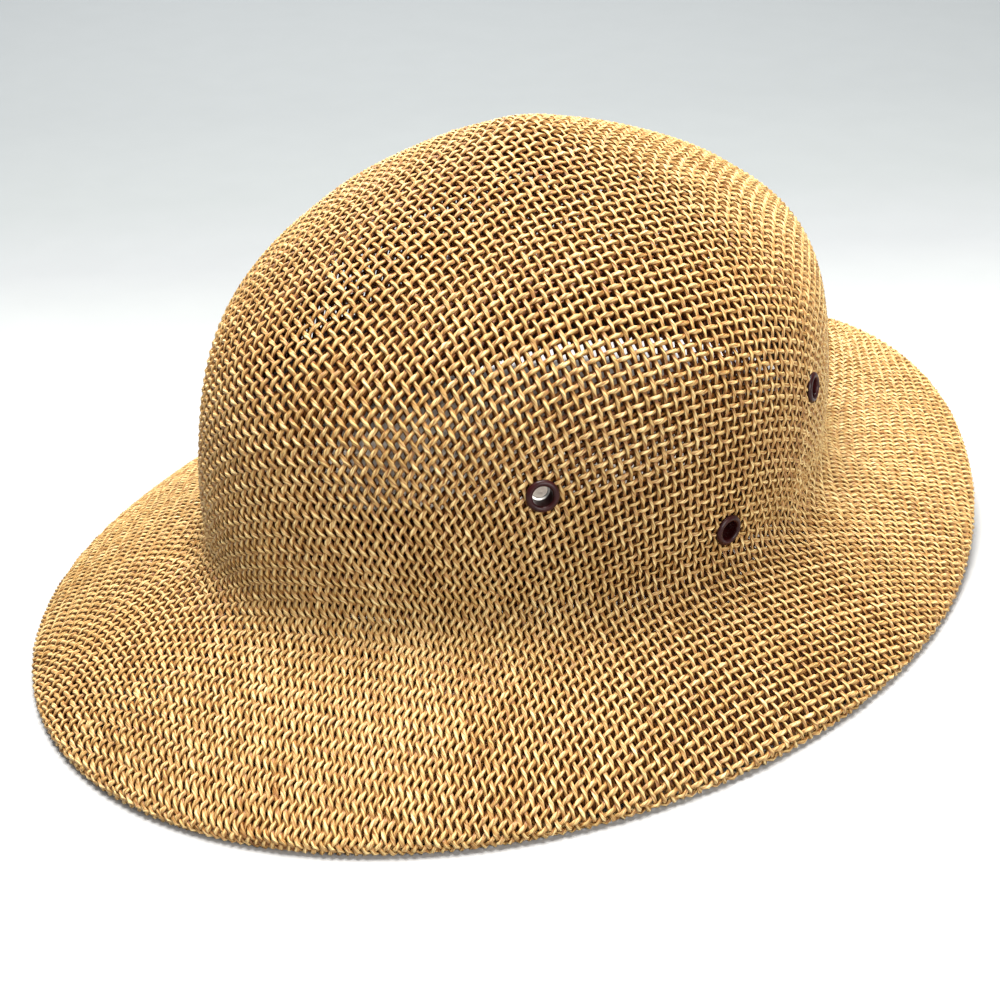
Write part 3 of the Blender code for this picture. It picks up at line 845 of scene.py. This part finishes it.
def floor_material():
    """Matt pale paper, faintly mottled, with painted warm light under the hat and painted grey
    shade behind it.
    """
    material = bpy.data.materials.new("floor_paper")
    material.use_nodes = True
    tree = material.node_tree
    shader = tree.nodes["Principled BSDF"]
    place = node(tree, "ShaderNodeTexCoord")
    mottle = node(tree, "ShaderNodeTexNoise", Scale=40.0, Detail=3.0)
    tree.links.new(place.outputs["Object"], mottle.inputs["Vector"])
    # Metres behind the hat, along the camera's view
    behind = node(tree, "ShaderNodeVectorMath", operation="DOT_PRODUCT")
    behind.inputs[1].default_value = BEHIND_HAT
    tree.links.new(place.outputs["Object"], behind.inputs[0])
    # Painted shade: the paper greys and cools with distance behind the hat
    paper = ramp(tree, behind.outputs["Value"], (
        (0.140, (0.330, 0.330, 0.330)),
        (0.200, (0.262, 0.273, 0.276)),
        (0.260, (0.222, 0.232, 0.239)),
        (0.350, (0.197, 0.210, 0.214)),
        (0.500, (0.184, 0.197, 0.203)),
        (0.800, (0.190, 0.204, 0.212)),
    ))
    # Shares of the rim's half-width and half-length from a place just behind the middle
    share = node(tree, "ShaderNodeVectorMath", operation="MULTIPLY_ADD")
    share.inputs[1].default_value = (2 / RIM_WIDTH, 2 / RIM_LENGTH, 0.0)
    share.inputs[2].default_value = UNDER_HAT_LIGHT_SHIFT
    tree.links.new(place.outputs["Object"], share.inputs[0])
    reach = node(tree, "ShaderNodeVectorMath", operation="LENGTH")
    tree.links.new(share.outputs["Vector"], reach.inputs[0])
    # Painted light: the paper under the hat, seen through the weave, is made far paler and warm
    under = ramp(tree, reach.outputs["Value"], (
        (0.60, (1.0, 1.0, 1.0)), (0.82, (0.0, 0.0, 0.0)),
    ))
    colour = blend(tree, "MIX", under, paper, (0.90, 0.81, 0.71))
    grain = ramp(tree, mottle.outputs["Fac"], (
        (0.3, (0.98, 0.98, 0.98)), (0.7, (1.0, 1.0, 1.0)),
    ))
    colour = blend(tree, "MULTIPLY", 1.0, colour, grain)
    tree.links.new(colour, shader.inputs["Base Color"])
    shader.inputs["Roughness"].default_value = 0.9
    shader.inputs["Specular IOR Level"].default_value = 0.1
    return material


FLOOR_HALF = 6
floor_mesh = bpy.data.meshes.new("floor")
floor_mesh.from_pydata([
    (-FLOOR_HALF, -FLOOR_HALF, 0), (FLOOR_HALF, -FLOOR_HALF, 0),
    (FLOOR_HALF, FLOOR_HALF, 0), (-FLOOR_HALF, FLOOR_HALF, 0),
], [], [(0, 1, 2, 3)])
floor = bpy.data.objects.new("floor", floor_mesh)
floor.data.materials.append(floor_material())
bpy.context.scene.collection.objects.link(floor)

back = Vector((
    math.sin(azimuth) * math.cos(elevation),
    -math.cos(azimuth) * math.cos(elevation),
    math.sin(elevation),
))
right = Vector((0, 0, 1)).cross(back).normalized()
axes = Matrix((right, back.cross(right), back))
for angle, axis in ((CAMERA_YAW, "Y"), (CAMERA_PITCH, "X"), (CAMERA_ROLL, "Z")):
    axes = Matrix.Rotation(math.radians(angle), 3, axis) @ axes
camera_data = bpy.data.cameras.new("camera")
camera_data.lens = CAMERA_LENS
camera_data.sensor_width = 36.0
camera_data.clip_start = 0.01
camera = bpy.data.objects.new("camera", camera_data)
camera.location = Vector(CAMERA_TARGET) + back * CAMERA_DISTANCE
camera.rotation_euler = axes.transposed().to_euler()
bpy.context.scene.collection.objects.link(camera)
bpy.context.scene.camera = camera

LIGHTS = (
    # name, right, towards the camera, up, size, watts, colour
    ("soft_key", -0.05, -0.20, 1.35, 0.8, 60.0, (1.0, 0.985, 0.955)),
    ("soft_fill", 0.8, 1.3, 0.75, 1.2, 30.0, (1.0, 0.975, 0.94)),
    ("back_fill", -0.3, -1.5, 0.75, 1.0, 12.0, (1.0, 0.99, 0.97)),
)
level_back = Vector((back.x, back.y, 0)).normalized()
for name, aside, ahead, up, size, watts, colour in LIGHTS:
    data = bpy.data.lights.new(name, "AREA")
    data.shape, data.size, data.energy, data.color = "DISK", size, watts, colour
    light = bpy.data.objects.new(name, data)
    light.location = right * aside + level_back * ahead + Vector((0, 0, up))
    away = light.location - Vector(CAMERA_TARGET)
    light.rotation_euler = away.to_track_quat("Z", "Y").to_euler()
    bpy.context.scene.collection.objects.link(light)

world = bpy.data.worlds.new("daylight")
world.use_nodes = True
world.node_tree.nodes["Background"].inputs["Color"].default_value = (0.97, 0.98, 1.0, 1.0)
world.node_tree.nodes["Background"].inputs["Strength"].default_value = 0.40
bpy.context.scene.world = world
bpy.context.scene.view_settings.view_transform = "Standard"
